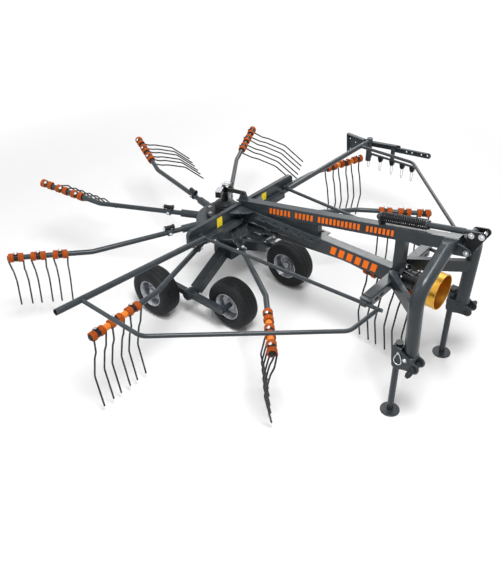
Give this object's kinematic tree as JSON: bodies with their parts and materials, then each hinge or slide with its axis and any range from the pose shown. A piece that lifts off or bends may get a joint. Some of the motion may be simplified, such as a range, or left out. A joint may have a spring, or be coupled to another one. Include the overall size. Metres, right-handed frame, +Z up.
{
  "type": "mounted single-rotor hay rake",
  "caption": "Tractor-mounted rotary hay rake: cranked arms with spring tines on a cam rotor, folding guards, swath former, tandem wheels and stand legs.",
  "frame": {"origin": "on the ground under the middle of the machine's plan box", "axes": "+X forward to the tractor, +Y to the left side with the swath former, +Z up"},
  "size_m": [3.6797, 3.4476, 1.304],
  "materials": {
    "grey_paint": "anthracite grey semi-gloss paint",
    "black_paint": "satin black paint",
    "black_spring": "black coated spring wire",
    "bright_steel": "zinc plated steel",
    "gold_paint": "gold passivated sheet",
    "tine_coils": "orange coated coils on dark spring wire",
    "tyre_rubber": "ribbed black rubber",
    "rim_silver": "silver paint"
  },
  "bodies": {
    "frame": {"cross_beam": "grey_paint", "main_beam": "grey_paint", "top_beam": "grey_paint", "arm_racks": "grey_paint", "headstock_arch": "grey_paint", "headstock_braces": "grey_paint", "front_bar": "grey_paint", "hitch_plates": "grey_paint", "lower_link_pins": "bright_steel", "mast_lug": "grey_paint", "rocker_plates": "black_paint", "rocker_pins": "bright_steel", "spring_rod": "bright_steel", "spring": "black_spring", "spring_seat": "black_paint", "input_housing": "black_paint", "pto_shield": "gold_paint", "gearbox": "grey_paint", "height_crank": "black_paint", "axle": "grey_paint", "guard_hinges": "grey_paint"},
    "input_shaft": {"input_shaft": "bright_steel"},
    "rotor": {"rotor_hub": "grey_paint", "rotor_arms": "grey_paint", "tines_1": "tine_coils", "tines_2": "tine_coils", "tines_3": "tine_coils", "tines_4": "tine_coils", "tines_5": "tine_coils", "tines_6": "tine_coils", "tines_7": "tine_coils", "tines_8": "tine_coils", "tines_9": "tine_coils"},
    "tandem_right": {"tandem_right": "grey_paint"},
    "tandem_left": {"tandem_left": "grey_paint"},
    "wheel_front_right": {"tyre_front_right": "tyre_rubber", "rim_front_right": "rim_silver"},
    "wheel_rear_right": {"tyre_rear_right": "tyre_rubber", "rim_rear_right": "rim_silver"},
    "wheel_front_left": {"tyre_front_left": "tyre_rubber", "rim_front_left": "rim_silver"},
    "wheel_rear_left": {"tyre_rear_left": "tyre_rubber", "rim_rear_left": "rim_silver"},
    "stand_right": {"stand_right": "grey_paint"},
    "stand_left": {"stand_left": "grey_paint"},
    "guard_right": {"guard_stay_right": "grey_paint", "guard_tube_right": "grey_paint", "guard_hoop_right": "grey_paint"},
    "guard_left": {"guard_stay_left": "grey_paint", "guard_tube_left": "grey_paint", "guard_hoop_left": "grey_paint"},
    "swath_former": {"former_frame": "grey_paint", "former_tines": "black_paint"}
  },
  "joints": [
    {"name": "rotor_spin", "type": "hinge", "parent": "frame", "child": "rotor", "pos_m": [-0.20014, -0.00223, 0.64], "axis": [0, 0, 1], "continuous": true},
    {"name": "input_spin", "type": "hinge", "parent": "frame", "child": "input_shaft", "pos_m": [1.53987, -0.00223, 0.785], "axis": [1, 0, 0], "continuous": true},
    {"name": "tandem_right_pivot", "type": "hinge", "parent": "frame", "child": "tandem_right", "pos_m": [-0.15613, -0.47723, 0.2], "axis": [0, 1, 0], "range_deg": [-12, 12]},
    {"name": "tandem_left_pivot", "type": "hinge", "parent": "frame", "child": "tandem_left", "pos_m": [-0.15613, 0.47277, 0.2], "axis": [0, 1, 0], "range_deg": [-12, 12]},
    {"name": "wheel_front_right_spin", "type": "hinge", "parent": "tandem_right", "child": "wheel_front_right", "pos_m": [0.17486, -0.35123, 0.2], "axis": [0, 1, 0], "continuous": true},
    {"name": "wheel_rear_right_spin", "type": "hinge", "parent": "tandem_right", "child": "wheel_rear_right", "pos_m": [-0.39014, -0.60723, 0.2], "axis": [0, 1, 0], "continuous": true},
    {"name": "wheel_front_left_spin", "type": "hinge", "parent": "tandem_left", "child": "wheel_front_left", "pos_m": [0.17486, 0.34677, 0.2], "axis": [0, 1, 0], "continuous": true},
    {"name": "wheel_rear_left_spin", "type": "hinge", "parent": "tandem_left", "child": "wheel_rear_left", "pos_m": [-0.39014, 0.60277, 0.2], "axis": [0, 1, 0], "continuous": true},
    {"name": "stand_right_slide", "type": "slide", "parent": "frame", "child": "stand_right", "axis": [0, 0, 1], "range_m": [0, 0.28]},
    {"name": "stand_left_slide", "type": "slide", "parent": "frame", "child": "stand_left", "axis": [0, 0, 1], "range_m": [0, 0.28]},
    {"name": "guard_right_fold", "type": "hinge", "parent": "frame", "child": "guard_right", "pos_m": [0.00086, -0.48223, 0.782], "axis": [-0.9984, -0.0569, 0], "range_deg": [0, 86]},
    {"name": "guard_left_fold", "type": "hinge", "parent": "frame", "child": "guard_left", "pos_m": [0.00086, 0.47777, 0.782], "axis": [0.9984, -0.0569, 0], "range_deg": [0, 90]},
    {"name": "former_slide", "type": "slide", "parent": "guard_left", "child": "swath_former", "axis": [0, 1, 0], "range_m": [0, 0.4]}
  ],
  "couplings": [
    {"joint": "input_spin", "follows": "rotor_spin", "ratio": 6}
  ]
}
